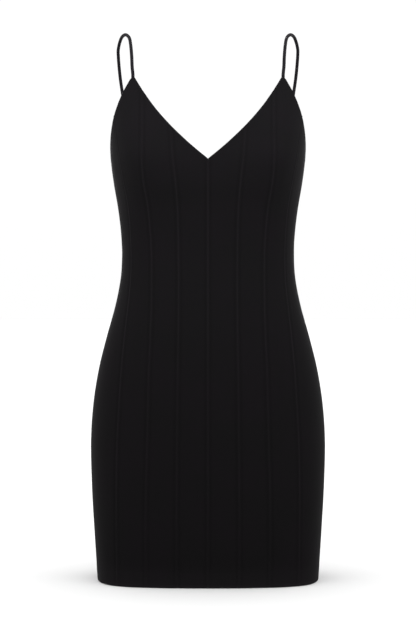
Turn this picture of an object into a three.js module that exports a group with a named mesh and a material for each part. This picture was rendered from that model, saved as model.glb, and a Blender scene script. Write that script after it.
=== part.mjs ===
// A panelled bodycon mini dress, held open in the shape it takes when worn, with nobody in it.
//
// Fourteen long panels are sewn edge to edge into one tube that is open at the neck, arms and hem. Two thin
// rolled straps join the points of the V neckline to the top of the back.
//
// Millimetres, +Z up. The origin is where the shoulders hold the dress: midway between the straps, a
// millimetre below the undersides of their tops. The front faces -Y, and the wearer's left is at +X. `down` is
// the distance below the origin, and `angle` goes round the body in degrees, from 0 at the centre front to 180
// at the centre back. The wearer's left half is built, and the right half is its mirror image.

import * as THREE from 'three';

// Driving dimensions.
const HEM_DOWN = 785;
const HEM_DEPTH = 21; // how far the hem is turned up inside
const HEM_WALL = 2.8; // cloth and its turned-up hem
const CLOTH_WALL = 1.8;
const SEAM_GAP = 0.3;
const BUST_LINE_DOWN = 232; // rings are level below this, and fan out to the top edge above it
const BUST_ANGLE = 36; // where each cup is fullest
const BUST_SPREAD = 21; // how far round the fullness fades, in degrees
const STRAP_DIAMETER = 4.8;
const STRAP_POINT_DOWN = 67.5;
const STRAP_POINT_INNER_ANGLE = 40.3;
const STRAP_POINT_OUTER_ANGLE = 43;
const STRAP_BACK_ANGLE = 134; // where the strap is sewn to the back's top edge

// How finely the surfaces are divided.
const LEVEL_RINGS = 20;
const BODICE_ROWS = 7;
const STRAP_SIDES = 8;
const STRAP_STEPS = 36;

const BLACK_CREPE = 0x19181b;
const BLACK_ROULEAU = 0x1d1c1f;

// The body of the dress, level by level. `half` is half its width, `front` and `back` its depths from the side
// seams, `corner` how square its plan is, and `bust` how far each cup stands out.
const bodyAt = smoothTable(
  ['down', 'half', 'front', 'back', 'corner', 'bust'],
  [50, 138.0, 72, 74, 0.062, 0.5],
  [80, 140.5, 84, 82, 0.062, 1.5],
  [115, 142.0, 96, 89, 0.062, 4.0],
  [150, 142.3, 105, 94, 0.062, 9.0],
  [185, 140.2, 110, 95, 0.060, 13.5],
  [215, 136.2, 107, 92, 0.055, 10.5],
  [250, 130.2, 98, 86, 0.046, 3.5],
  [285, 126.0, 91, 78, 0.038, 0.8],
  [318, 124.6, 88, 74, 0.035, 0],
  [350, 126.4, 89, 76, 0.035, 0],
  [390, 134.0, 94, 87, 0.035, 0],
  [435, 146.5, 100, 101, 0.035, 0],
  [480, 157.7, 104, 113, 0.038, 0],
  [530, 165.8, 107, 121, 0.042, 0],
  [585, 169.6, 109, 123, 0.047, 0],
  [650, 168.1, 110, 117, 0.055, 0],
  [720, 164.2, 111, 110, 0.062, 0],
  [790, 159.4, 112, 106, 0.066, 0],
);

// The long seams, level by level: how far each lies from the centre, seen square on from the front or back.
const seamsAt = smoothTable(
  ['down', 'frontInner', 'frontOuter', 'frontSide', 'backInner', 'backOuter'],
  [50, 53.0, 93.5, 138.0, 53, 101],
  [90, 52.5, 93.0, 137.2, 53, 101],
  [125, 52.2, 92.6, 133.6, 53, 101],
  [150, 51.6, 92.3, 130.0, 52, 100],
  [185, 49.2, 92.5, 124.5, 50, 98],
  [215, 45.8, 90.6, 119.0, 47, 94],
  [250, 43.0, 84.8, 113.0, 44, 89],
  [285, 41.9, 81.5, 110.2, 41, 85],
  [320, 41.5, 79.8, 109.0, 40, 83],
  [350, 41.2, 79.6, 109.6, 42, 86],
  [390, 41.2, 79.7, 113.0, 46, 92],
  [435, 41.6, 80.9, 118.0, 49, 98],
  [480, 42.2, 82.8, 122.0, 52, 104],
  [530, 42.7, 84.0, 125.0, 54, 108],
  [585, 43.2, 85.0, 127.6, 54, 110],
  [650, 43.7, 86.7, 128.7, 54, 110],
  [720, 43.8, 87.0, 128.2, 53, 109],
  [790, 43.5, 86.2, 127.3, 53, 108],
);

// The top edge: the V neckline, and then the armhole and the back in one smooth run.
const necklineAt = smoothTable(
  ['angle', 'down'],
  [0, 187.2],
  [6.9, 169.0],
  [15.2, 145.2],
  [24.6, 116.7],
  [32.1, 92.1],
  [36.3, 78.9],
  [STRAP_POINT_INNER_ANGLE, STRAP_POINT_DOWN],
);
const armholeAndBackAt = smoothTable(
  ['angle', 'down'],
  [STRAP_POINT_OUTER_ANGLE, STRAP_POINT_DOWN],
  [45.0, 72.0],
  [47.0, 78.0],
  [54.0, 97.1],
  [60.5, 113.5],
  [65.9, 126.9],
  [71.1, 140.4],
  [76.5, 153.5],
  [82.5, 165.0],
  [90.0, 173.0],
  [100.0, 177.5],
  [116.0, 179.0],
  [134.0, 177.0],
  [156.0, 181.0],
  [180.0, 184.0],
);

// The middle line of a strap between its two ends, from the front, over the shoulder and down the back.
const STRAP_ROUTE = namedRows(
  ['across', 'depth', 'up'],
  [107.7, -62.5, -52],
  [108.6, -56, -36],
  [110.9, -40, -16],
  [113.5, -25, -5.2],
  [120.2, 0, 2.8],
  [127.0, 24, 1.4],
  [132.6, 48, -11],
  [133.2, 59, -20],
  [131.3, 73, -48],
  [128.0, 79, -73],
  [123.2, 80.5, -105],
  [117.6, 79, -140],
);

// The panels of one half, from the centre front round to the centre back. `breaks` names the angles at which
// the top edge has a corner inside the panel, and `columns` says how many strips lie between the breaks.
const PANELS = [
  { name: 'front_centre', from: 'centreFront', to: 'frontInner', columns: [3] },
  { name: 'front_inner', from: 'frontInner', to: 'frontOuter', columns: [3] },
  {
    name: 'front_outer',
    from: 'frontOuter',
    to: 'frontSide',
    breaks: [STRAP_POINT_INNER_ANGLE, STRAP_POINT_OUTER_ANGLE],
    columns: [1, 1, 3],
  },
  { name: 'front_side', from: 'frontSide', to: 'side', columns: [4] },
  { name: 'back_side', from: 'side', to: 'backOuter', columns: [4] },
  { name: 'back_middle', from: 'backOuter', to: 'backInner', columns: [4] },
  { name: 'back_centre', from: 'backInner', to: 'centreBack', columns: [4] },
];
const FIXED_SEAM_ANGLES = { centreFront: 0, side: 90, centreBack: 180 };

/** Turns a table with named columns into a list of objects, one for each row. */
function namedRows(columns, ...rows) {
  return rows.map((row) => Object.fromEntries(columns.map((name, i) => [name, row[i]])));
}

/** Returns a function that reads a table smoothly at any value of its first column. */
function smoothTable(columns, ...rows) {
  const [, ...names] = columns;
  const places = rows.map((row) => row[0]);
  const values = rows.flatMap((row) => row.slice(1));
  const curve = new THREE.CubicInterpolant(places, values, names.length);
  return (place) => {
    const found = curve.evaluate(place);
    return Object.fromEntries(names.map((name, i) => [name, found[i]]));
  };
}

/** How far round a rounded plan reaches to the side, as a share of its half width. */
function sideReach(radians, corner) {
  return (Math.sin(radians) + corner * Math.sin(3 * radians)) / (1 - corner);
}

/** How far a rounded plan reaches to the front, as a share of its depth; negative at the back. */
function frontReach(radians, corner) {
  return (Math.cos(radians) - corner * Math.cos(3 * radians)) / (1 - corner);
}

/** The point on the outside of the cloth. */
function clothPoint(angle, down) {
  const body = bodyAt(down);
  const radians = THREE.MathUtils.degToRad(angle);
  const depth = angle <= 90 ? body.front : body.back;
  const cup = angle < 90 ? body.bust * Math.exp(-(((angle - BUST_ANGLE) / BUST_SPREAD) ** 2)) : 0;
  return new THREE.Vector3(
    body.half * sideReach(radians, body.corner),
    -depth * frontReach(radians, body.corner) - cup,
    -down,
  );
}

/** The outward direction of the cloth. */
function clothNormal(angle, down) {
  const step = 0.5;
  const round = clothPoint(Math.min(angle + step, 180), down).sub(clothPoint(Math.max(angle - step, 0), down));
  const up = clothPoint(angle, down - step).sub(clothPoint(angle, down + step));
  // The body is its own mirror image, so on the centre lines the cloth faces straight ahead or behind.
  if (angle <= step || angle >= 180 - step) round.set(angle < 90 ? 1 : -1, 0, 0);
  return round.cross(up).normalize();
}

/** The angle at which the cloth lies `across` from the centre, on the front or on the back. */
function angleAcross(across, down, onBack) {
  const body = bodyAt(down);
  let low = 0;
  let high = Math.PI / 2;
  for (let i = 0; i < 40; i += 1) {
    const middle = (low + high) / 2;
    if (body.half * sideReach(middle, body.corner) < across) low = middle;
    else high = middle;
  }
  const angle = THREE.MathUtils.radToDeg(low);
  return onBack ? 180 - angle : angle;
}

/** The angle of a seam at a level. */
function seamAngle(seam, down) {
  if (seam in FIXED_SEAM_ANGLES) return FIXED_SEAM_ANGLES[seam];
  return angleAcross(seamsAt(down)[seam], down, seam.startsWith('back'));
}

/** How far down the top edge lies at an angle. */
function topEdgeDown(angle) {
  if (angle <= STRAP_POINT_INNER_ANGLE) return necklineAt(angle).down;
  if (angle <= STRAP_POINT_OUTER_ANGLE) return STRAP_POINT_DOWN;
  return armholeAndBackAt(angle).down;
}

/** Half the seam gap, as degrees round the body. */
function gapAngle(angle, down) {
  const step = 0.5;
  const near = clothPoint(angle, down);
  const far = clothPoint(angle < 90 ? angle + step : angle - step, down);
  return ((SEAM_GAP / 2) * step) / near.distanceTo(far);
}

/** The angle of the point that lies a share of the way from a panel's first seam to its second. */
function panelAngle(panel, share, down) {
  const first = seamAngle(panel.from, down);
  const second = seamAngle(panel.to, down);
  return THREE.MathUtils.lerp(first + gapAngle(first, down), second - gapAngle(second, down), share);
}

/** The shares of a panel's width at which its columns of points stand. */
function columnShares(panel) {
  const first = seamAngle(panel.from, STRAP_POINT_DOWN);
  const second = seamAngle(panel.to, STRAP_POINT_DOWN);
  const inner = (panel.breaks ?? []).map((angle) => (angle - first) / (second - first));
  const stops = [0, ...inner, 1];
  const shares = [0];
  panel.columns.forEach((count, stretch) => {
    for (let i = 1; i <= count; i += 1) {
      shares.push(THREE.MathUtils.lerp(stops[stretch], stops[stretch + 1], i / count));
    }
  });
  return shares;
}

/** How far down a column of a panel meets the top edge. */
function columnTop(panel, share) {
  let above = STRAP_POINT_DOWN - 5;
  let below = BUST_LINE_DOWN;
  for (let i = 0; i < 40; i += 1) {
    const middle = (above + below) / 2;
    if (middle < topEdgeDown(panelAngle(panel, share, middle))) above = middle;
    else below = middle;
  }
  return below;
}

/** The levels of a column's points, from the hem up, each with the wall's thickness there. */
function columnLevels(top) {
  const hemTop = HEM_DOWN - HEM_DEPTH;
  const levels = [
    { down: HEM_DOWN, wall: HEM_WALL },
    { down: hemTop + 1, wall: HEM_WALL },
  ];
  for (let i = 0; i <= LEVEL_RINGS; i += 1) {
    levels.push({ down: THREE.MathUtils.lerp(hemTop, BUST_LINE_DOWN, i / LEVEL_RINGS), wall: CLOTH_WALL });
  }
  for (let i = 1; i <= BODICE_ROWS; i += 1) {
    levels.push({ down: THREE.MathUtils.lerp(BUST_LINE_DOWN, top, i / BODICE_ROWS), wall: CLOTH_WALL });
  }
  return levels;
}

/** A closed wall between an outer and an inner grid of points, each a list of columns from one seam over. */
function wallGeometry(outer, inner, mirrored) {
  const columns = outer.length;
  const rows = outer[0].length;
  const points = [...outer.flat(), ...inner.flat()];
  const at = (layer, column, row) => layer * columns * rows + column * rows + row;
  const faces = [];
  const quad = (a, b, c, d) => faces.push(mirrored ? [a, c, b] : [a, b, c], mirrored ? [a, d, c] : [a, c, d]);
  for (let c = 0; c < columns - 1; c += 1) {
    for (let r = 0; r < rows - 1; r += 1) {
      quad(at(0, c, r), at(0, c + 1, r), at(0, c + 1, r + 1), at(0, c, r + 1));
      quad(at(1, c, r), at(1, c, r + 1), at(1, c + 1, r + 1), at(1, c + 1, r));
    }
    quad(at(1, c, 0), at(1, c + 1, 0), at(0, c + 1, 0), at(0, c, 0));
    quad(at(0, c, rows - 1), at(0, c + 1, rows - 1), at(1, c + 1, rows - 1), at(1, c, rows - 1));
  }
  for (let r = 0; r < rows - 1; r += 1) {
    quad(at(0, 0, r), at(0, 0, r + 1), at(1, 0, r + 1), at(1, 0, r));
    quad(at(0, columns - 1, r), at(1, columns - 1, r), at(1, columns - 1, r + 1), at(0, columns - 1, r + 1));
  }
  const side = new THREE.Vector3(mirrored ? -1 : 1, 1, 1);
  const geometry = new THREE.BufferGeometry();
  geometry.setFromPoints(points.map((point) => point.clone().multiply(side)));
  geometry.setIndex(faces.flat());
  geometry.computeVertexNormals();
  return geometry;
}

/** One panel, as a wall of cloth from the hem to the top edge. */
function makePanel(panel, mirrored) {
  const outer = [];
  const inner = [];
  for (const share of columnShares(panel)) {
    const column = columnLevels(columnTop(panel, share)).map(({ down, wall }) => {
      const angle = panelAngle(panel, share, down);
      const point = clothPoint(angle, down);
      return { point, under: point.clone().addScaledVector(clothNormal(angle, down), -wall) };
    });
    outer.push(column.map(({ point }) => point));
    inner.push(column.map(({ under }) => under));
  }
  const material = new THREE.MeshStandardMaterial({ color: BLACK_CREPE, roughness: 0.85, metalness: 0 });
  const mesh = new THREE.Mesh(wallGeometry(outer, inner, mirrored), material);
  mesh.name = `${panel.name}_${mirrored ? 'right' : 'left'}`;
  return mesh;
}

/** The middle of the wall at the top edge, a seam gap above it: where a strap's end is sewn on. */
function strapSeat(angle) {
  const down = topEdgeDown(angle);
  const seat = clothPoint(angle, down).addScaledVector(clothNormal(angle, down), -CLOTH_WALL / 2);
  seat.z += SEAM_GAP;
  return seat;
}

/** One rolled strap: a thin round tube of cloth from the front point over the shoulder to the back edge. */
function makeStrap(mirrored) {
  const side = mirrored ? -1 : 1;
  const frontSeat = strapSeat((STRAP_POINT_INNER_ANGLE + STRAP_POINT_OUTER_ANGLE) / 2);
  const backSeat = strapSeat(STRAP_BACK_ANGLE);
  // Each end stands straight up from its seat for one diameter, so its flat end lies along the edge.
  const frontRise = frontSeat.clone().add(new THREE.Vector3(0, 0, STRAP_DIAMETER));
  const backRise = backSeat.clone().add(new THREE.Vector3(0, 0, STRAP_DIAMETER));
  const middle = STRAP_ROUTE.map(({ across, depth, up }) => new THREE.Vector3(across, depth, up));
  const points = [frontSeat, frontRise, ...middle, backRise, backSeat];
  const path = new THREE.CatmullRomCurve3(points.map((point) => point.setX(point.x * side)));
  const section = new THREE.Shape();
  section.absarc(0, 0, STRAP_DIAMETER / 2, 0, 2 * Math.PI);
  const geometry = new THREE.ExtrudeGeometry(section, {
    steps: STRAP_STEPS,
    curveSegments: STRAP_SIDES,
    extrudePath: path,
  });
  const material = new THREE.MeshStandardMaterial({ color: BLACK_ROULEAU, roughness: 0.8, metalness: 0 });
  const mesh = new THREE.Mesh(geometry, material);
  mesh.name = `strap_${mirrored ? 'right' : 'left'}`;
  return mesh;
}

const dress = new THREE.Group();
for (const mirrored of [false, true]) {
  const half = new THREE.Group();
  for (const panel of PANELS) half.add(makePanel(panel, mirrored));
  half.add(makeStrap(mirrored));
  dress.add(half);
}

export default dress;
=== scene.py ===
"""The looks of a panelled bodycon mini dress, standing open in the shape it takes when worn.

Each panel is one sheet of stretch crepe with its seam allowances, hem and top edge turned in, sewn to its
neighbours. Each strap is a strip of the same crepe rolled into a thin tube. Lengths are in millimetres until
a mesh is made, and then in metres. `down` is the distance below the tops of the straps, `angle` goes round
the body in degrees from 0 at the centre front to 180 at the centre back, and the wearer's left is at +X.
"""

import bpy
import numpy as np
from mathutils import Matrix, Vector


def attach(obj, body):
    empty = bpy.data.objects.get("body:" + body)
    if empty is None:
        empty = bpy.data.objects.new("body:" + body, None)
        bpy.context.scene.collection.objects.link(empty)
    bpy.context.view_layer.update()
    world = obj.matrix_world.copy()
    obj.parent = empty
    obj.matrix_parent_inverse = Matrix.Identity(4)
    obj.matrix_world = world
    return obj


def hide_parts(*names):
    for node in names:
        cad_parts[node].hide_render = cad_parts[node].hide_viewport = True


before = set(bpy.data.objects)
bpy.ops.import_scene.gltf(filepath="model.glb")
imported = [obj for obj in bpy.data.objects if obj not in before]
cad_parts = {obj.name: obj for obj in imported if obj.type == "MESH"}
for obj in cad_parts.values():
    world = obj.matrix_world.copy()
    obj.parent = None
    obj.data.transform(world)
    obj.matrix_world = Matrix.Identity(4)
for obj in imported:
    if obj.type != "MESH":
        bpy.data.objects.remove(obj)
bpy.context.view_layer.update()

MM = 0.001
BODY = "root"

# The dress, as the part's own source has it.
HEM_DOWN = 785
BUST_LINE_DOWN = 232
BUST_ANGLE = 36
BUST_SPREAD = 21
STRAP_DIAMETER = 4.8
STRAP_POINT_DOWN = 67.5
STRAP_POINT_ANGLES = (40.3, 43.0)
STRAP_BACK_ANGLE = 134.0
SEAT_DEPTH = 0.9
SEAT_GAP = 0.3

# How a strap is rolled and sewn in.
STRAP_WALL = 0.55
STRAP_FRONT_ANGLE = 41.95       # 0.3 degrees further out than in the part's own source
STRAP_END_LEVELS = (5.0, 1.5)   # below the top edge, of the part between its layers
STRAP_END_FLAT = (8.0, 4.5)     # from an end: where it is still round, and where it is fully flat
STRAP_END_SPREAD = 0.18         # how much wider the flat end is
STRAP_END_SQUASH = 0.89         # and how much thinner
STRAP_POINTS = 260
BIAS_CLIMB = 9.0                # how far the cloth's threads climb in one turn round the strap

# How the cloth is sewn.
CLOTH_THICKNESS = 0.6
PRESSED_THICKNESS = 0.36    # at a seam, where the iron and the stitches squeeze it
SQUEEZE_REACH = (1.6, 0.3)  # from a seam: where the squeeze starts, and where it is full
SEAM_PRESS = 0.03           # how far the two folds of a seam press into each other
ALLOWANCE = 9.0             # turned in and pressed open at each seam
ALLOWANCE_GAP = 0.05        # between an allowance and the panel that it lies on
FACE_DEPTH = CLOTH_THICKNESS / 2
ALLOWANCE_DEPTH = FACE_DEPTH + CLOTH_THICKNESS + ALLOWANCE_GAP
EDGE_FOLD = 1.32            # how deep the middle of the hem's fold and the top edge's lies
HEM_TURN = 21.0
TOP_TURN = 10.0

# The thread that binds the raw edges and holds the hem, the top edge and the ends of the straps.
THREAD_DIAMETER = 0.32
THREAD_END = 1.5            # how far the thread of a turned edge stops short of a seam
OVERLOCK_WIDTH = 4.2
OVERLOCK_WRAP = 0.15        # how far it reaches past a turned edge
OVERLOCK_STEP = 1.6         # along the edge, from one side of the zigzag to the other
OVERLOCK_STOP = 4           # how far an allowance's ends before a turned edge
BLIND_STITCH_STEP = 3.2
BLIND_STITCH_OUT = 1.6      # how far past a turned edge it catches the wall
BLIND_STITCH_IN = 1.2       # and how far inside that edge it catches the turned layer
TACK_TOP = 3.5              # below the top edge
TACK_WIDTH = 5.0
TACK_ROWS = 9
ASKEW = (0.31, 0.87, 0.39)  # a direction in which no thread runs

# How far the cloth stands out along what is sewn, and the painted highlight and painted shade drawn in its
# colour along the seams.
SEAM_RIDGE = 0.50
SEAM_RIDGE_WIDTH = 0.9
SEAM_DITCH = 0.16           # the dip on each side of that ridge
SEAM_DITCH_PLACE = 2.3
SEAM_PAINTED_HIGHLIGHT_WIDTH = 0.75
SEAM_PAINTED_SHADE = 0.27            # painted shade: how much darker the colour is drawn beside that painted highlight, as a share of it
SEAM_PAINTED_SHADE_PLACE = 3.8
SEAM_PAINTED_SHADE_WIDTH = 1.5
PAINTED_LIGHT_GAIN = 0.72         # how much paler the colour is drawn where the painted highlight is full
ALLOWANCE_RELIEF = 0.10
HEM_RELIEF = 0.22
TOP_RELIEF = 0.16

# The camera, as the photograph was taken: square on to the front, level, from between waist and hips.
IMAGE_HEIGHT_PX = 624
SCALE_MM_PER_PX = 1.453
CAMERA_DISTANCE = 2700
CAMERA_DOWN = 400
SENSOR_MM = 36

# The softboxes, two at each side, in metres and watts, with a light that is a little cool.
SOFTBOXES = (
    # name, place at +X, power
    ("front_softbox", (1.6, -1.6, 0.5), 1.95),
    ("back_softbox", (0.45, 2.2, 0.5), 1.6),
)
SOFTBOX_SIZE = (0.9, 0.4)
SOFTBOX_TARGET = (0, 0, 0.05)
SOFTBOX_SPREAD = 33         # degrees, to which the grid over it keeps the light
SOFTBOX_WHITE = "#f8faff"

# How bright the white surround is at its walls and, on top of that, overhead.
WALL_GLOW = 1.0
ROOF_GLOW = 1.55

# The floor, which reaches so many metres to each side and lies so many millimetres under the hem.
FLOOR_REACH = 80.0
FLOOR_GAP = 0.4


def smooth_table(columns, *rows):
    """Returns a function that reads a table smoothly at any places of its first column."""
    table = np.array(rows, float)
    places = table[:, 0]
    values = table[:, 1:]
    secants = np.diff(values, axis=0) / np.diff(places)[:, None]
    slopes = np.vstack([secants[:1], (secants[:-1] + secants[1:]) / 2, secants[-1:]])

    def read(place):
        place = np.clip(np.asarray(place, float), places[0], places[-1])
        i = np.clip(np.searchsorted(places, place, side="right") - 1, 0, len(places) - 2)
        width = (places[i + 1] - places[i])[..., None]
        t = (place - places[i])[..., None] / width
        found = values[i] * (1 + 2 * t) * (1 - t) ** 2 + slopes[i] * width * t * (1 - t) ** 2
        found += values[i + 1] * t**2 * (3 - 2 * t) + slopes[i + 1] * width * t**2 * (t - 1)
        return dict(zip(columns[1:], np.moveaxis(found, -1, 0)))

    return read


body_at = smooth_table(
    ("down", "half", "front", "back", "corner", "bust"),
    (50, 138.0, 72, 74, 0.062, 0.5),
    (80, 140.5, 84, 82, 0.062, 1.5),
    (115, 142.0, 96, 89, 0.062, 4.0),
    (150, 142.3, 105, 94, 0.062, 9.0),
    (185, 140.2, 110, 95, 0.060, 13.5),
    (215, 136.2, 107, 92, 0.055, 10.5),
    (250, 130.2, 98, 86, 0.046, 3.5),
    (285, 126.0, 91, 78, 0.038, 0.8),
    (318, 124.6, 88, 74, 0.035, 0),
    (350, 126.4, 89, 76, 0.035, 0),
    (390, 134.0, 94, 87, 0.035, 0),
    (435, 146.5, 100, 101, 0.035, 0),
    (480, 157.7, 104, 113, 0.038, 0),
    (530, 165.8, 107, 121, 0.042, 0),
    (585, 169.6, 109, 123, 0.047, 0),
    (650, 168.1, 110, 117, 0.055, 0),
    (720, 164.2, 111, 110, 0.062, 0),
    (790, 159.4, 112, 106, 0.066, 0),
)

seams_at = smooth_table(
    ("down", "front_inner", "front_outer", "front_side", "back_inner", "back_outer"),
    (50, 53.0, 93.5, 138.0, 53, 101),
    (90, 52.5, 93.0, 137.2, 53, 101),
    (125, 52.2, 92.6, 133.6, 53, 101),
    (150, 51.6, 92.3, 130.0, 52, 100),
    (185, 49.2, 92.5, 124.5, 50, 98),
    (215, 45.8, 90.6, 119.0, 47, 94),
    (250, 43.0, 84.8, 113.0, 44, 89),
    (285, 41.9, 81.5, 110.2, 41, 85),
    (320, 41.5, 79.8, 109.0, 40, 83),
    (350, 41.2, 79.6, 109.6, 42, 86),
    (390, 41.2, 79.7, 113.0, 46, 92),
    (435, 41.6, 80.9, 118.0, 49, 98),
    (480, 42.2, 82.8, 122.0, 52, 104),
    (530, 42.7, 84.0, 125.0, 54, 108),
    (585, 43.2, 85.0, 127.6, 54, 110),
    (650, 43.7, 86.7, 128.7, 54, 110),
    (720, 43.8, 87.0, 128.2, 53, 109),
    (790, 43.5, 86.2, 127.3, 53, 108),
)

# The top edge, which lies up to 1.5 mm from that of the part's own source, as the photograph has it.
neckline_at = smooth_table(
    ("angle", "down"),
    (0, 186.0),
    (6.9, 168.1),
    (15.2, 144.4),
    (24.6, 115.8),
    (32.1, 91.8),
    (36.3, 78.9),
    (STRAP_POINT_ANGLES[0], STRAP_POINT_DOWN),
)
armhole_and_back_at = smooth_table(
    ("angle", "down"),
    (STRAP_POINT_ANGLES[1], STRAP_POINT_DOWN),
    (45.4, 72.0),
    (47.5, 78.0),
    (54.6, 97.1),
    (61.1, 113.5),
    (66.4, 126.9),
    (71.4, 140.4),
    (76.6, 153.5),
    (82.5, 165.0),
    (90.0, 173.0),
    (100.0, 177.5),
    (116.0, 179.0),
    (134.0, 177.0),
    (156.0, 181.0),
    (180.0, 184.0),
)

# The middle line of a strap: across, depth, up.
STRAP_ROUTE = (
    (107.7, -62.5, -52),
    (108.6, -56, -36),
    (110.9, -40, -16),
    (113.5, -25, -5.2),
    (120.2, 0, 2.8),
    (127.0, 24, 1.4),
    (132.6, 48, -11),
    (133.2, 59, -20),
    (131.3, 73, -48),
    (128.0, 79, -73),
    (123.2, 80.5, -105),
    (117.6, 79, -140),
)

# Each panel of one half, with its two seams, from the centre front round to the centre back.
PANELS = {
    "front_centre": ("centre_front", "front_inner"),
    "front_inner": ("front_inner", "front_outer"),
    "front_outer": ("front_outer", "front_side"),
    "front_side": ("front_side", "side"),
    "back_side": ("side", "back_outer"),
    "back_middle": ("back_outer", "back_inner"),
    "back_centre": ("back_inner", "centre_back"),
}
FIXED_SEAM_ANGLES = {"centre_front": 0, "side": 90, "centre_back": 180}
SEAM_PAINTED_HIGHLIGHT = {"front_side": 1.4, "side": 0.6}    # how strong the painted highlight is along these seams; 1 on the rest
LEVELS = np.linspace(45, 792, 500)               # the distances down at which seams and widths are worked out


def side_reach(turn, corner):
    """How far round a rounded plan reaches to the side, as a share of its half width."""
    return (np.sin(turn) + corner * np.sin(3 * turn)) / (1 - corner)


def front_reach(turn, corner):
    """How far it reaches to the front, as a share of its depth; negative at the back."""
    return (np.cos(turn) - corner * np.cos(3 * turn)) / (1 - corner)


def cloth_point(angle, down):
    """Points on the outside of the cloth."""
    body = body_at(down)
    turn = np.radians(angle)
    depth = np.where(angle <= 90, body["front"], body["back"])
    cup = np.where(angle < 90, body["bust"] * np.exp(-(((angle - BUST_ANGLE) / BUST_SPREAD) ** 2)), 0)
    across = body["half"] * side_reach(turn, body["corner"])
    return np.stack([across, -depth * front_reach(turn, body["corner"]) - cup, -down], axis=-1)


def unit(vectors):
    """The same directions, with a length of 1."""
    return vectors / np.linalg.norm(vectors, axis=-1, keepdims=True)


def cloth_normal(angle, down):
    """The outward direction of the cloth."""
    # In degrees round the body, and in millimetres up and down.
    step = 0.5
    past = np.minimum(angle + step, 180)
    before = np.maximum(angle - step, 0)
    round_body = cloth_point(past, down) - cloth_point(before, down)
    up = cloth_point(angle, down - step) - cloth_point(angle, down + step)
    ahead = np.where(angle < 90, 1.0, -1.0)[..., None] * np.array([1.0, 0, 0])
    centre = ((angle <= step) | (angle >= 180 - step))[..., None]
    return unit(np.cross(np.where(centre, ahead, round_body), up))


def seam_angle(seam):
    """The angle of a seam at each of LEVELS."""
    if seam in FIXED_SEAM_ANGLES:
        return np.full(len(LEVELS), float(FIXED_SEAM_ANGLES[seam]))
    body = body_at(LEVELS)
    across = seams_at(LEVELS)[seam]
    low = np.zeros(len(LEVELS))
    high = np.full(len(LEVELS), np.pi / 2)
    for _ in range(40):
        middle = (low + high) / 2
        short = body["half"] * side_reach(middle, body["corner"]) < across
        low = np.where(short, middle, low)
        high = np.where(short, high, middle)
    angle = np.degrees(low)
    return 180 - angle if seam.startswith("back") else angle


def top_edge_down(angle):
    """How far down the top edge lies at each angle."""
    neckline = neckline_at(angle)["down"]
    rest = armhole_and_back_at(angle)["down"]
    point = np.full_like(neckline, STRAP_POINT_DOWN)
    inner, outer = STRAP_POINT_ANGLES
    return np.where(angle <= inner, neckline, np.where(angle <= outer, point, rest))


def soft_step(value, start, end):
    """0 before start and 1 after end, smoothly; start may be the larger."""
    t = np.clip((value - start) / (end - start), 0, 1)
    return t * t * (3 - 2 * t)


# Distances from a seam of the columns of points, in the allowance and on the face.
ALLOWANCE_STEPS = (9.0, 7.5, 5.5, 3.0, 1.4, 0.7)
FACE_STEPS = (0.6, 0.9, 1.3, 1.8, 2.5, 3.4, 4.6, 6.4, 8.2, 9.0, 10.0, 11.5)
FOLD_STEPS = 7
FAR_FROM_SEAMS = 99    # stands for the distance of the columns between those
MIDDLE_STEP = 4.0
ROW_STEP = 4.5
# Heights above the hem and distances below the top edge of the rows of points beside them.
HEM_STEPS = (3, 6, 9, 12, 15, 17.5, 19, 20, 21, 22, 23.5, 26, 30, 34)
TOP_STEPS = (14, 12.5, 11, 10, 9, 8, 6, 4, 2.6)
TOP_ROWS = 26


def pressed_fold():
    """Distances from the seam, and depths, of the cloth's middle round its fold, from allowance to face."""
    corner = PRESSED_THICKNESS / 2
    turn = np.linspace(0, np.pi / 2, 4)
    distance = PRESSED_THICKNESS / 2 - SEAM_PRESS + corner * (1 - np.sin(turn))
    sink = corner * (1 - np.cos(turn))
    middle = [(distance[-1], (FACE_DEPTH + ALLOWANCE_DEPTH) / 2)]
    folded_in = list(zip(distance, ALLOWANCE_DEPTH - sink))
    folded_out = list(zip(distance, FACE_DEPTH + sink))
    return folded_in + middle + folded_out[::-1]


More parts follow.
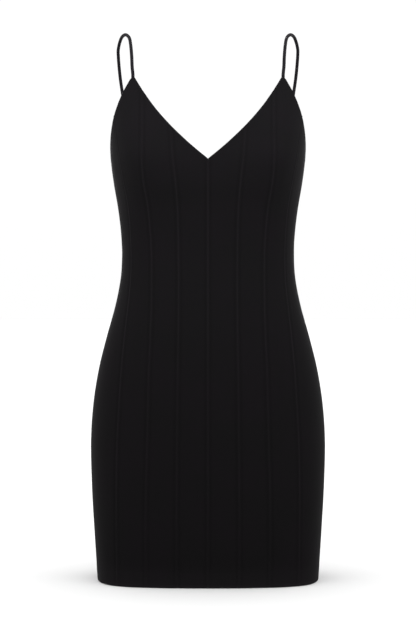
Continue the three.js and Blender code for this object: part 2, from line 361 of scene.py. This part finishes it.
class Panel:
    """One panel, worked out on the wearer's left, as a sheet with its edges turned in."""

    def __init__(self, name, first, second):
        self.name = name
        # How strong the painted highlight is along each of its two seams.
        self.painted_highlight = (SEAM_PAINTED_HIGHLIGHT.get(first, 1), SEAM_PAINTED_HIGHLIGHT.get(second, 1))
        self.first = seam_angle(first)
        self.second = seam_angle(second)
        shares = np.linspace(0, 1, 25)[:, None]
        angles = self.first + (self.second - self.first) * shares
        points = cloth_point(angles, LEVELS + 0 * angles)
        self.width = np.linalg.norm(np.diff(points, axis=0), axis=-1).sum(axis=0)
        self.first_rate = self.millimetres_per_degree(self.first, 0.5)
        self.second_rate = self.millimetres_per_degree(self.second, -0.5)
        self.lay_columns()

    def millimetres_per_degree(self, seam, step):
        """How much cloth a degree takes beside a seam, at each of LEVELS."""
        near = cloth_point(seam, LEVELS)
        far = cloth_point(seam + step, LEVELS)
        return np.linalg.norm(far - near, axis=-1) / abs(step)

    def lay_columns(self):
        """Places each column by its share of the width and its distance from the seam, with its depth."""
        allowance = [(s, ALLOWANCE_DEPTH) for s in ALLOWANCE_STEPS]
        face = [(s, FACE_DEPTH) for s in FACE_STEPS]
        second = allowance + pressed_fold() + face
        first = second
        if self.name == "front_outer":
            point = self.strap_point_steps()
            kept = [place for place in second if place[0] < point[0] - 1]
            first = kept + [(s, FACE_DEPTH) for s in point]
        start, end = first[-1][0], second[-1][0]
        count = max(3, round((self.width.mean() - start - end) / MIDDLE_STEP))
        laid = [(0, s, end, s, depth) for s, depth in first]
        laid += [(i / count, start, end, FAR_FROM_SEAMS, FACE_DEPTH) for i in range(1, count)]
        laid += [(1, start, s, s, depth) for s, depth in reversed(second)]
        self.share, self.from_first, self.from_second, self.seam, self.depth = np.array(laid, float).T

    def strap_point_steps(self):
        """Distances from the first seam of the strap point's two corners, and of columns beside them."""
        first = np.interp(STRAP_POINT_DOWN, LEVELS, self.first)
        rate = np.interp(STRAP_POINT_DOWN, LEVELS, self.first_rate)
        inner, outer = ((angle - first) * rate for angle in STRAP_POINT_ANGLES)
        return [inner - 2.6, inner - 1, inner, (inner + outer) / 2, outer, outer + 1, outer + 2.6]

    def angle(self, down):
        """The angle of each column where it is `down` below the top."""
        first, second, first_rate, second_rate = (
            np.interp(down, LEVELS, values)
            for values in (self.first, self.second, self.first_rate, self.second_rate)
        )
        near_first = first + self.from_first / first_rate
        near_second = second - self.from_second / second_rate
        return near_first + (near_second - near_first) * self.share

    def top(self):
        """How far down each column meets the top edge."""
        above = np.full(len(self.share), STRAP_POINT_DOWN - 5)
        below = np.full(len(self.share), float(BUST_LINE_DOWN))
        for _ in range(40):
            middle = (above + below) / 2
            outside = middle < top_edge_down(self.angle(middle))
            above = np.where(outside, middle, above)
            below = np.where(outside, below, middle)
        return below

    def rows(self, top):
        """Each row of points: how far down it lies, its place round a fold, and if that is hem or top."""
        hem_line = HEM_DOWN - EDGE_FOLD + 0 * top
        top_line = top + EDGE_FOLD
        hem_plain = HEM_DOWN - HEM_STEPS[-1]
        count = round((hem_plain - BUST_LINE_DOWN) / ROW_STEP)
        fan = top + TOP_STEPS[0] - BUST_LINE_DOWN
        rows = [(hem_line - (HEM_TURN - EDGE_FOLD) * t, np.pi, 1) for t in (1, 0.75, 0.45, 0.2, 0.05)]
        rows += [(hem_line, phase, 1) for phase in np.linspace(np.pi, 0, FOLD_STEPS)]
        rows += [(HEM_DOWN - up + 0 * top, 0, 0) for up in HEM_STEPS]
        rows += [(down + 0 * top, 0, 0) for down in np.linspace(hem_plain, BUST_LINE_DOWN, count)[1:]]
        rows += [(BUST_LINE_DOWN + fan * t, 0, 0) for t in np.linspace(0, 1, TOP_ROWS)[1:]]
        rows += [(top + t, 0, 0) for t in TOP_STEPS[1:]]
        rows += [(top_line, phase, -1) for phase in np.linspace(0, np.pi, FOLD_STEPS)]
        rows += [(top_line + (TOP_TURN - EDGE_FOLD) * t, np.pi, -1) for t in (0.1, 0.4, 0.7, 1)]
        return rows

    def sheet(self, side):
        """The middle of the cloth as a grid of points, its thickness there, and the painted highlight,
        painted shade and painted bounce light drawn on it.
        """
        top = self.top()
        rows = self.rows(top)
        line = np.array([row[0] for row in rows])
        phase = np.array([row[1] for row in rows])[:, None]
        way = np.array([row[2] for row in rows])[:, None]
        radius = EDGE_FOLD - self.depth
        down = line + way * radius * np.sin(phase)
        inward = EDGE_FOLD - radius * np.cos(phase)
        angle = self.angle(down)
        raised = sewn_relief(down, self.seam, top) + crease_relief(angle * side, down)
        points = cloth_point(angle, down) - cloth_normal(angle, down) * (inward - raised)[..., None]
        squeeze = soft_step(self.seam, *SQUEEZE_REACH)
        thickness = CLOTH_THICKNESS + (PRESSED_THICKNESS - CLOTH_THICKNESS) * squeeze
        # The painted highlight along each of the two seams, and the painted light drawn on the cloth.
        painted_highlight = np.where(self.share == 0, *self.painted_highlight)
        return points, thickness + 0 * down, painted_seam_and_hem_light(down, self.seam, painted_highlight)

    def beside_seam(self, share, distance, down, depth):
        """Points so deep behind the outside, at a distance from the first seam, or the second for share 1."""
        seam, rate = ((self.first, self.first_rate), (self.second, self.second_rate))[share]
        angle = np.interp(down, LEVELS, seam) + (1, -1)[share] * distance / np.interp(down, LEVELS, rate)
        return cloth_point(angle, down) - cloth_normal(angle, down) * depth

    def overlocked_edges(self):
        """The thread round the raw edges of both seam allowances."""
        top = self.top()
        face = ALLOWANCE_DEPTH + CLOTH_THICKNESS / 2 + THREAD_DIAMETER / 2
        runs = []
        for share in (0, 1):
            start = top[-share] + TOP_TURN + OVERLOCK_STOP
            down = np.arange(start, HEM_DOWN - HEM_TURN - OVERLOCK_STOP, OVERLOCK_STEP)
            edge = self.beside_seam(share, ALLOWANCE + THREAD_DIAMETER / 2, down, ALLOWANCE_DEPTH)
            needle = self.beside_seam(share, ALLOWANCE - OVERLOCK_WIDTH, down, face)
            # The needle's own thread runs straight along the inner side of the zigzag.
            runs += [zigzag(edge, needle), needle[::4]]
        return runs

    def turned_edges(self):
        """The thread round the raw edges of the hem and the turned top, and their blind stitches."""
        top = self.top()
        layer = 2 * EDGE_FOLD - FACE_DEPTH
        face = layer + CLOTH_THICKNESS / 2 + THREAD_DIAMETER / 2
        wall = FACE_DEPTH + CLOTH_THICKNESS / 2 + THREAD_DIAMETER / 2
        stitches = (
            (OVERLOCK_STEP, (-OVERLOCK_WRAP, layer), (OVERLOCK_WIDTH, face)),
            (BLIND_STITCH_STEP, (-BLIND_STITCH_OUT, wall), (BLIND_STITCH_IN, face)),
        )
        runs = []
        for edge_down, way in ((HEM_DOWN - HEM_TURN + 0 * top, 1), (top + TOP_TURN, -1)):
            girth = np.interp(edge_down.mean(), LEVELS, self.width)
            for step, *ends in stitches:
                count = round((girth - 2 * THREAD_END) / step)
                column = np.linspace(THREAD_END, girth - THREAD_END, count) / girth
                down = self.edge_at(column, edge_down)
                lines = [self.behind(column, down + way * inward, depth) for inward, depth in ends]
                runs.append(zigzag(*lines))
        return runs

    def behind(self, column, down, depth):
        """Points so deep behind the outside, at shares of the width from the first seam to the second."""
        first, second = (np.interp(down, LEVELS, seam) for seam in (self.first, self.second))
        angle = first + (second - first) * column
        return cloth_point(angle, down) - cloth_normal(angle, down) * depth

    def edge_at(self, column, edge_down):
        """How far down a turned edge lies, at shares of the width from the first seam to the second."""
        face = self.depth == FACE_DEPTH
        down = edge_down[face]
        first, second = (np.interp(down, LEVELS, seam) for seam in (self.first, self.second))
        place = (self.angle(edge_down)[face] - first) / (second - first)
        return np.interp(column, place, down)

    def cut(self):
        """The width, length and area of the flat cut, with its allowances, in metres."""
        middle_top = self.top()[len(self.share) // 2]
        used = (LEVELS > middle_top) & (LEVELS < HEM_DOWN)
        width = self.width[used] + 2 * ALLOWANCE
        length = np.ptp(LEVELS[used]) + HEM_TURN + TOP_TURN
        return width.max() * MM, length * MM, width.mean() * length * MM**2


def sewn_relief(down, seam, top):
    """How far the outside of the cloth stands out, in mm, over what is sewn behind it."""
    ridge = SEAM_RIDGE * np.exp(-((seam / SEAM_RIDGE_WIDTH) ** 2))
    ridge -= SEAM_DITCH * np.exp(-(((seam - SEAM_DITCH_PLACE) / SEAM_RIDGE_WIDTH) ** 2))
    allowance = ALLOWANCE_RELIEF * soft_step(seam, ALLOWANCE + 1.5, ALLOWANCE - 1.5)
    hem = HEM_RELIEF * soft_step(HEM_DOWN - down, HEM_TURN + 1.5, HEM_TURN - 1)
    edge = TOP_RELIEF * soft_step(down - top, TOP_TURN + 1.5, TOP_TURN - 1)
    return ridge + allowance + hem + edge


def painted_seam_and_hem_light(down, seam, painted_highlight):
    """Painted light as a share of paler colour: painted highlight on a seam's ridge and painted bounce light
    at the hem, and painted shade beside a seam where it is less than 0.
    """
    # Painted highlight on the ridge of a seam, and painted shade beside it.
    ridge = np.exp(-((seam / SEAM_PAINTED_HIGHLIGHT_WIDTH) ** 2))
    painted_shade = SEAM_PAINTED_SHADE * np.exp(-(((seam - SEAM_PAINTED_SHADE_PLACE) / SEAM_PAINTED_SHADE_WIDTH) ** 2))
    # The painted seam highlight is full from under the bust to above the hips, and weaker over the bust and
    # on the skirt.
    strength = 0.35 + 0.65 * soft_step(down, 140, 240)
    strength -= 0.35 * soft_step(down, 400, 520) + 0.3 * soft_step(down, 640, 720)
    # Painted bounce light from the floor: the hem is drawn paler where it is turned up, and most of all at
    # its fold.
    hem = 0.6 * soft_step(HEM_DOWN - down, HEM_TURN + 16, 4) + 0.8 * soft_step(HEM_DOWN - down, 7, 1)
    return painted_highlight * strength * ridge - painted_shade + hem


# Soft creases, the wearer's right at minus angles; a height less than 0 goes in.
CREASES = (
    # angle, down, to angle, to down, width, height
    # below the bust and the arm
    (86, 214, 58, 232, 9, -0.45),
    (-87, 205, -62, 226, 10, -0.40),
    (80, 186, 60, 202, 8, 0.30),
    (-78, 180, -57, 199, 9, 0.34),
    # down from the strap points
    (42, 76, 50, 140, 9, 0.30),
    (-41, 78, -34, 138, 10, 0.26),
    # across the waist
    (96, 300, 64, 309, 8, -0.42),
    (92, 331, 58, 322, 9, -0.36),
    (-97, 312, -60, 304, 9, -0.40),
    (-93, 344, -66, 333, 8, -0.34),
    (34, 316, 8, 321, 12, -0.22),
    (-40, 324, -12, 318, 13, -0.24),
    # over the hips and the skirt
    (70, 410, 24, 392, 16, 0.30),
    (-66, 402, -20, 420, 18, 0.28),
    (52, 500, 12, 520, 20, -0.32),
    (-48, 522, -10, 498, 22, -0.30),
    (20, 610, 34, 750, 17, 0.36),
    (-14, 640, -22, 768, 15, 0.32),
    (58, 660, 62, 774, 18, -0.34),
    (-50, 600, -56, 740, 19, -0.36),
    (78, 560, 84, 700, 16, 0.30),
    (-80, 590, -74, 735, 17, 0.28),
    # the small of the back, where a stretch dress gathers
    (176, 300, 134, 314, 10, -0.75),
    (-170, 318, -128, 308, 11, -0.70),
    (168, 338, 138, 331, 9, -0.55),
    (-178, 346, -142, 352, 10, -0.50),
    (150, 276, 112, 288, 12, 0.40),
    (-154, 284, -116, 272, 12, 0.42),
    # round the seat and down the back of the skirt
    (172, 430, 126, 410, 18, 0.34),
    (-168, 416, -120, 436, 20, 0.30),
    (160, 596, 108, 624, 18, -0.45),
    (-156, 616, -106, 600, 19, -0.42),
    (168, 650, 158, 770, 17, 0.38),
    (-162, 664, -170, 774, 16, 0.34),
    (126, 668, 118, 760, 18, -0.34),
    (-120, 656, -128, 768, 18, -0.36),
    (160, 200, 122, 214, 12, -0.30),
    (-164, 212, -124, 202, 13, -0.28),
)
CREASE_BOW = 0.06           # how far a crease bows, as a share of its length
GIRTH_MM_PER_DEGREE = 2.4   # about how much cloth a degree takes


def crease_relief(angle, down):
    """How far the cloth stands out in its soft creases."""
    relief = np.zeros_like(down)
    for angle_from, down_from, angle_to, down_to, width, height in CREASES:
        run = np.array([(angle_to - angle_from) * GIRTH_MM_PER_DEGREE, down_to - down_from])
        length = np.linalg.norm(run)
        across, below = (angle - angle_from) * GIRTH_MM_PER_DEGREE, down - down_from
        along = (across * run[0] + below * run[1]) / length**2
        bow = CREASE_BOW * length * np.sin(np.pi * np.clip(along, 0, 1))
        aside = (across * run[1] - below * run[0]) / length + bow
        taper = np.sin(np.pi * np.clip(along, 0, 1)) ** 1.5
        relief += height * taper * np.exp(-((aside / width) ** 2))
    return relief


def directions(grid, axis):
    """The direction along one axis of a grid of points, halfway between the steps on its two sides."""
    steps = unit(np.diff(grid, axis=axis))
    before = np.concatenate([np.take(steps, [0], axis=axis), steps], axis=axis)
    after = np.concatenate([steps, np.take(steps, [-1], axis=axis)], axis=axis)
    return before + after


def new_piece(name, points, faces, mirrored):
    """A smooth mesh object from points in millimetres and four-sided faces, mirrored for the right side."""
    if mirrored:
        points = points * np.array([-1, 1, 1])
        faces = faces[:, ::-1]
    mesh = bpy.data.meshes.new(name)
    mesh.from_pydata((points * MM).tolist(), [], faces.tolist())
    mesh.shade_smooth()
    piece = bpy.data.objects.new(name, mesh)
    bpy.context.scene.collection.objects.link(piece)
    return piece


def thick_sheet(name, grid, thickness, marks, mirrored):
    """A closed mesh of a sheet of cloth round a grid of points on its middle, with marks at each point."""
    lift = unit(np.cross(directions(grid, 1), directions(grid, 0))) * thickness[..., None] / 2
    points = np.concatenate([(grid + lift).reshape(-1, 3), (grid - lift).reshape(-1, 3)])
    rows, columns = grid.shape[:2]
    face = np.arange(rows * columns).reshape(rows, columns)
    back = face + rows * columns

    def quads(a, b, c, d):
        return np.stack([a, b, c, d], axis=-1).reshape(-1, 4)

    faces = np.concatenate([
        quads(face[:-1, :-1], face[:-1, 1:], face[1:, 1:], face[1:, :-1]),
        quads(back[:-1, :-1], back[1:, :-1], back[1:, 1:], back[:-1, 1:]),
        quads(back[0, :-1], back[0, 1:], face[0, 1:], face[0, :-1]),
        quads(face[-1, :-1], face[-1, 1:], back[-1, 1:], back[-1, :-1]),
        quads(face[:-1, 0], face[1:, 0], back[1:, 0], back[:-1, 0]),
        quads(face[:-1, -1], back[:-1, -1], back[1:, -1], face[1:, -1]),
    ])
    piece = new_piece(name, points, faces, mirrored)
    for mark, values in marks.items():
        attribute = piece.data.attributes.new(mark, "FLOAT", "POINT")
        attribute.data.foreach_set("value", np.tile(values.ravel(), 2))
    return piece


def thread_mesh(name, runs, mirrored):
    """One mesh of several runs of thread, each a four-sided tube along its points."""
    points, faces, base = [], [], 0
    for line in runs:
        along = unit(directions(line, 0))
        across = unit(np.cross(along, np.array(ASKEW)))
        other = np.cross(along, across)
        ring = [across, other, -across, -other]
        tube = np.stack([line + side * THREAD_DIAMETER / 2 for side in ring], axis=1)
        points.append(tube.reshape(-1, 3))
        start = base + 4 * np.arange(len(line) - 1)[:, None]
        corner = np.arange(4)
        after = (corner + 1) % 4
        sides = np.stack([start + corner, start + after, start + 4 + after, start + 4 + corner], axis=-1)
        last = base + 4 * (len(line) - 1)
        start_cap = [[base + 3, base + 2, base + 1, base]]
        end_cap = [[last, last + 1, last + 2, last + 3]]
        faces += [sides.reshape(-1, 4), start_cap, end_cap]
        base += 4 * len(line)
    return new_piece(name, np.vstack(points), np.vstack(faces), mirrored)


def zigzag(first, second):
    """Points that go from one line to the other and back."""
    odd = (np.arange(len(first)) % 2 == 1)[:, None]
    return np.where(odd, first, second)


def strap_seat(angle, below=0.0, depth=SEAT_DEPTH):
    """A point so far below the top edge and so deep behind the outside, and which way the cloth faces."""
    angle = np.array(angle)
    down = top_edge_down(angle) + below
    facing = cloth_normal(angle, down)
    return cloth_point(angle, down) - facing * depth, facing


def smooth_route(points, count):
    """Evenly spaced points along a centripetal Catmull-Rom curve through the given ones."""
    points = np.array(points, float)
    points = np.vstack([2 * points[0] - points[1], points, 2 * points[-1] - points[-2]])
    made = []
    for p0, p1, p2, p3 in zip(points, points[1:], points[2:], points[3:]):
        t1 = np.linalg.norm(p1 - p0) ** 0.5
        t2 = t1 + np.linalg.norm(p2 - p1) ** 0.5
        t3 = t2 + np.linalg.norm(p3 - p2) ** 0.5
        t = np.linspace(t1, t2, 24, endpoint=False)[:, None]
        a1 = (t1 - t) / t1 * p0 + t / t1 * p1
        a2 = (t2 - t) / (t2 - t1) * p1 + (t - t1) / (t2 - t1) * p2
        a3 = (t3 - t) / (t3 - t2) * p2 + (t - t2) / (t3 - t2) * p3
        b1 = (t2 - t) / t2 * a1 + t / t2 * a2
        b2 = (t3 - t) / (t3 - t1) * a2 + (t - t1) / (t3 - t1) * a3
        made.append((t2 - t) / (t2 - t1) * b1 + (t - t1) / (t2 - t1) * b2)
    line = np.vstack([*made, points[-2:-1]])
    length = np.concatenate([[0], np.cumsum(np.linalg.norm(np.diff(line, axis=0), axis=1))])
    even = np.linspace(0, length[-1], count)
    return np.stack([np.interp(even, length, line[:, k]) for k in range(3)], axis=-1), length[-1]


def make_strap(mirrored):
    """A rolled strap from the front point to the back: a bias strip sewn into a tube, allowances inside."""
    ends = []
    for angle in (STRAP_FRONT_ANGLE, STRAP_BACK_ANGLE):
        seat, facing = strap_seat(angle)
        above = seat + np.array([0, 0, STRAP_DIAMETER + SEAT_GAP])
        sewn_in = [strap_seat(angle, below, EDGE_FOLD)[0] for below in STRAP_END_LEVELS]
        ends.append([*sewn_in, above, facing])
    (*front, front_facing), (*back, back_facing) = ends
    line, length = smooth_route([*front, *STRAP_ROUTE, *back[::-1]], STRAP_POINTS)
    along = unit(np.gradient(line, axis=0))
    across = unit(np.cross(along, np.array([1.0, 0.2, 0])))
    outward = np.cross(across, along)
    radius = STRAP_DIAMETER / 2 - STRAP_WALL / 2
    # The two allowances lie face to face inside the tube, from near its middle to its seam.
    tucked = np.array([0.4, 0.6, 0.8, 0.92]) * radius
    turn = np.radians(np.linspace(13, 347, 25))
    start = np.stack([tucked, np.full(4, STRAP_WALL / 2 - SEAM_PRESS)], axis=-1)
    circle = np.stack([radius * np.cos(turn), radius * np.sin(turn)], axis=-1)
    section = np.vstack([start, circle, (start * np.array([1, -1]))[::-1]])
    # Both ends are pressed flat, where the strap is sewn in between the layers of the top edge.
    place = np.linspace(0, 1, len(line))
    end = np.minimum(place, 1 - place) * length
    flat = soft_step(end, *STRAP_END_FLAT)[:, None, None]
    facing = np.where(place[:, None] < 0.5, front_facing, back_facing)[:, None]
    offset = outward[:, None] * section[:, :1] + across[:, None] * section[:, 1:]
    squash = (offset * facing).sum(axis=-1, keepdims=True) * facing
    grid = line[:, None] + offset * (1 + STRAP_END_SPREAD * flat) - squash * STRAP_END_SQUASH * flat
    name = "rolled_strap_" + ("right" if mirrored else "left")
    even = np.ones(grid.shape[:2])
    # The cloth's threads cross the strap at a slant, because it is cut on the bias.
    slant = np.arange(len(line))[:, None] / (len(line) - 1) * length
    slant = slant + np.arange(len(section)) / len(section) * BIAS_CLIMB
    piece = thick_sheet(name, grid, STRAP_WALL * even, {"bias_mm": slant}, mirrored)
    width = (2 * np.pi * radius + 2 * tucked[-1]) * MM
    return piece, width, length * MM


def srgb(hex_colour):
    """An sRGB hex colour, turned linear."""
    parts = [int(hex_colour[i:i + 2], 16) / 255 for i in (1, 3, 5)]
    return [*(c / 12.92 if c <= 0.04045 else ((c + 0.055) / 1.055) ** 2.4 for c in parts), 1.0]


def add(tree, kind, settings=(), **inputs):
    """Adds a node with its settings; an input given as a socket is linked, and any other is set."""
    node = tree.nodes.new(kind)
    for name, value in dict(settings).items():
        setattr(node, name, value)
    for name, value in inputs.items():
        socket = node.inputs[int(name[1:])] if name[0] == "_" else node.inputs[name.replace("_", " ")]
        if isinstance(value, bpy.types.NodeSocket):
            tree.links.new(value, socket)
        else:
            socket.default_value = value
    return node


def new_material(name):
    """An empty material and its node tree."""
    material = bpy.data.materials.new(name)
    material.use_nodes = True
    material.node_tree.nodes.clear()
    return material, material.node_tree


def matte_stretch_crepe():
    """Black polyester stretch crepe, piece-dyed: a dense matte cloth with a pebbled grain and a bloom."""
    material, tree = new_material("matte_black_stretch_crepe")
    place = add(tree, "ShaderNodeTexCoord").outputs["Object"]
    # A real crepe's pebbles are about 0.6 mm; they are drawn at 2 mm, the finest that shows at this distance.
    pebble_mm = 2.0
    pebble = add(
        tree, "ShaderNodeTexNoise",
        Vector=place, Scale=1 / (pebble_mm * MM), Detail=2.0, Roughness=0.6,
    )
    # The dye takes a little unevenly, in soft clouds some 60 mm across.
    cloud_mm = 60
    cloud = add(
        tree, "ShaderNodeTexNoise",
        Vector=place, Scale=1 / (cloud_mm * MM), Detail=3.0, Roughness=0.5,
    )
    tone_ramp = add(tree, "ShaderNodeValToRGB", Fac=cloud.outputs["Fac"])
    tone_ramp.color_ramp.elements[0].position = 0.35
    tone_ramp.color_ramp.elements[0].color = srgb("#0c0b0c")
    tone_ramp.color_ramp.elements[1].position = 0.65
    tone_ramp.color_ramp.elements[1].color = srgb("#0d0b0d")
    bump = add(tree, "ShaderNodeBump", Strength=0.25, Distance=0.15 * MM, Height=pebble.outputs["Fac"])
    # Painted light in the colour: paler along the ridge of each seam (painted highlight) and at the hem
    # (painted bounce light from the floor), and darker beside a seam (painted shade).
    painted_light = add(tree, "ShaderNodeAttribute", {"attribute_name": "painted_light"}).outputs["Fac"]
    share = add(tree, "ShaderNodeMath", {"operation": "MULTIPLY_ADD"}, _0=painted_light, _1=PAINTED_LIGHT_GAIN, _2=1.0)
    colour = add(tree, "ShaderNodeVectorMath", {"operation": "SCALE"}, _0=tone_ramp.outputs["Color"])
    tree.links.new(share.outputs[0], colour.inputs["Scale"])
    shader = add(
        tree, "ShaderNodeBsdfPrincipled",
        Base_Color=colour.outputs[0], Roughness=0.85, IOR=1.45, Specular_IOR_Level=0.057,
        Normal=bump.outputs["Normal"],
    )
    add(tree, "ShaderNodeOutputMaterial", Surface=shader.outputs["BSDF"])
    return material


def rolled_bias_crepe():
    """The same black crepe, cut on the bias and turned into a tube: its grain opens, and its colour is a
    little paler, with painted highlights on the crests of the grain.
    """
    material, tree = new_material("rolled_bias_cut_black_crepe")
    # The real threads are 0.3 mm apart; their slant is drawn 1.5 mm apart, the finest that shows.
    slant_mm = 1.5
    bias = add(tree, "ShaderNodeAttribute", {"attribute_name": "bias_mm"}).outputs["Fac"]
    turn = add(tree, "ShaderNodeMath", {"operation": "MULTIPLY"}, _0=bias, _1=2 * np.pi / slant_mm).outputs[0]
    rib = add(tree, "ShaderNodeMath", {"operation": "SINE"}, _0=turn).outputs[0]
    bump = add(tree, "ShaderNodeBump", Strength=0.1, Distance=0.1 * MM, Height=rib)
    # Painted highlight: the colour is paler on the crests of the grain, where they would catch a little more
    # light than the hollows between them.
    crest = add(tree, "ShaderNodeMapRange", Value=rib, From_Min=-1.0, From_Max=1.0).outputs["Result"]
    tone_ramp = add(tree, "ShaderNodeValToRGB", Fac=crest)
    tone_ramp.color_ramp.elements[0].color = srgb("#110f12")
    tone_ramp.color_ramp.elements[1].color = srgb("#141215")
    shader = add(
        tree, "ShaderNodeBsdfPrincipled",
        Base_Color=tone_ramp.outputs["Color"], Roughness=0.8, IOR=1.45, Specular_IOR_Level=0.08,
        Normal=bump.outputs["Normal"],
    )
    add(tree, "ShaderNodeOutputMaterial", Surface=shader.outputs["BSDF"])
    return material


def spun_polyester_thread():
    """Black spun polyester thread: a soft lustre, a little brighter than the cloth that it binds."""
    material, tree = new_material("black_spun_polyester_thread")
    place = add(tree, "ShaderNodeTexCoord").outputs["Object"]
    # Its fibres lie 0.02 mm apart; they are drawn as flecks of 0.8 mm.
    fleck_mm = 0.8
    fleck = add(tree, "ShaderNodeTexNoise", Vector=place, Scale=1 / (fleck_mm * MM), Detail=1.0)
    tone_ramp = add(tree, "ShaderNodeValToRGB", Fac=fleck.outputs["Fac"])
    tone_ramp.color_ramp.elements[0].color = srgb("#0b0a0b")
    tone_ramp.color_ramp.elements[1].color = srgb("#141214")
    shader = add(
        tree, "ShaderNodeBsdfPrincipled",
        Base_Color=tone_ramp.outputs["Color"], Roughness=0.55, IOR=1.5, Specular_IOR_Level=0.12,
    )
    add(tree, "ShaderNodeOutputMaterial", Surface=shader.outputs["BSDF"])
    return material


def studio_white(name, colour):
    """Matt white paint, without a shine."""
    material, tree = new_material(name)
    shader = add(
        tree, "ShaderNodeBsdfPrincipled",
        Base_Color=srgb(colour), Roughness=0.9, Specular_IOR_Level=0.0,
    )
    add(tree, "ShaderNodeOutputMaterial", Surface=shader.outputs["BSDF"])
    return material


def finish_piece(piece, material, node=None):
    """Gives a piece its material and body, and hides the solid that it stands for."""
    piece.data.materials.append(material)
    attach(piece, BODY)
    if node:
        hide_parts(node)


def strap_tacks():
    """The dense rows of stitches that hold both ends of a strap behind the top edge."""
    depth = 2 * EDGE_FOLD - FACE_DEPTH + CLOTH_THICKNESS / 2 + THREAD_DIAMETER / 2
    reach = TACK_WIDTH / 2 / GIRTH_MM_PER_DEGREE
    runs = []
    for angle in (STRAP_FRONT_ANGLE, STRAP_BACK_ANGLE):
        down = top_edge_down(np.array(angle)) + TACK_TOP + np.arange(TACK_ROWS) * THREAD_DIAMETER
        sides = []
        for way in (-1, 1):
            place = np.full(TACK_ROWS, angle + way * reach)
            sides.append(cloth_point(place, down) - cloth_normal(place, down) * depth)
        runs.append(zigzag(*sides))
    return runs


def make_dress():
    """Cuts, sews and finishes both halves of the dress."""
    crepe = matte_stretch_crepe()
    rolled = rolled_bias_crepe()
    thread = spun_polyester_thread()
    for mirrored in (False, True):
        side = "right" if mirrored else "left"
        overlock, turned = [], []
        for name, (first, second) in PANELS.items():
            panel = Panel(name, first, second)
            # Its painted highlight, painted shade and painted bounce light go on the mesh as a mark.
            grid, thickness, painted_light = panel.sheet(-1 if mirrored else 1)
            piece = thick_sheet(f"panel_{name}_{side}", grid, thickness, {"painted_light": painted_light}, mirrored)
            finish_piece(piece, crepe, f"{name}_{side}")
            width, length, area = panel.cut()
            overlock += panel.overlocked_edges()
            turned += panel.turned_edges()
        strap, width, length = make_strap(mirrored)
        finish_piece(strap, rolled, f"strap_{side}")
        finish_piece(thread_mesh(f"overlock_thread_{side}", overlock, mirrored), thread)
        finish_piece(thread_mesh(f"hem_and_top_thread_{side}", turned, mirrored), thread)
        finish_piece(thread_mesh(f"strap_tack_thread_{side}", strap_tacks(), mirrored), thread)


def gridded_softbox(name, place, power):
    """A softbox with a grid over it, turned to just above the straps."""
    light = bpy.data.lights.new(name, "AREA")
    light.shape = "RECTANGLE"
    light.size, light.size_y = SOFTBOX_SIZE
    light.energy = power
    light.color = srgb(SOFTBOX_WHITE)[:3]
    light.spread = np.radians(SOFTBOX_SPREAD)
    lamp = bpy.data.objects.new(name, light)
    lamp.location = place
    lamp.rotation_euler = (Vector(SOFTBOX_TARGET) - Vector(place)).to_track_quat("-Z", "Y").to_euler()
    bpy.context.scene.collection.objects.link(lamp)


def make_tent():
    """A white surround on all sides, brighter overhead."""
    world = bpy.data.worlds.new("white_light_tent")
    world.use_nodes = True
    tree = world.node_tree
    tree.nodes.clear()
    direction = add(tree, "ShaderNodeTexCoord").outputs["Generated"]
    up = add(tree, "ShaderNodeSeparateXYZ", Vector=direction).outputs["Z"]
    above = add(tree, "ShaderNodeMath", {"operation": "MAXIMUM"}, _0=up, _1=0.0).outputs[0]
    glow = add(tree, "ShaderNodeMath", {"operation": "POWER"}, _0=above, _1=2.0).outputs[0]
    strength = add(tree, "ShaderNodeMath", {"operation": "MULTIPLY_ADD"}, _0=glow, _1=ROOF_GLOW, _2=WALL_GLOW)
    white = add(tree, "ShaderNodeBackground", Color=(1, 1, 1, 1), Strength=strength.outputs[0])
    add(tree, "ShaderNodeOutputWorld", Surface=white.outputs[0])
    bpy.context.scene.world = world


def make_studio():
    """A pale floor just under the hem, in a white tent, and soft lamps."""
    floor_mesh = bpy.data.meshes.new("floor")
    level = -(HEM_DOWN + FLOOR_GAP) * MM
    corners = [(x * FLOOR_REACH, y * FLOOR_REACH, level) for x, y in ((-1, -1), (1, -1), (1, 1), (-1, 1))]
    floor_mesh.from_pydata(corners, [], [(0, 1, 2, 3)])
    floor = bpy.data.objects.new("floor", floor_mesh)
    floor.data.materials.append(studio_white("matt_white_paint", "#d7d7d7"))
    bpy.context.scene.collection.objects.link(floor)
    make_tent()
    for side in (-1, 1):
        for name, (across, depth, up), power in SOFTBOXES:
            gridded_softbox(f"{name}_{side}", (across * side, depth, up), power)


def make_camera():
    """A camera that shows the dress at the photograph's scale and height."""
    data = bpy.data.cameras.new("camera")
    data.sensor_width = SENSOR_MM
    data.lens = CAMERA_DISTANCE / SCALE_MM_PER_PX * SENSOR_MM / IMAGE_HEIGHT_PX
    camera = bpy.data.objects.new("camera", data)
    camera.location = (0, -CAMERA_DISTANCE * MM, -CAMERA_DOWN * MM)
    camera.rotation_euler = (np.pi / 2, 0, 0)
    bpy.context.scene.collection.objects.link(camera)
    bpy.context.scene.camera = camera


make_camera()
make_dress()
make_studio()
bpy.context.scene.view_settings.view_transform = "Standard"
bpy.context.scene.view_settings.look = "None"
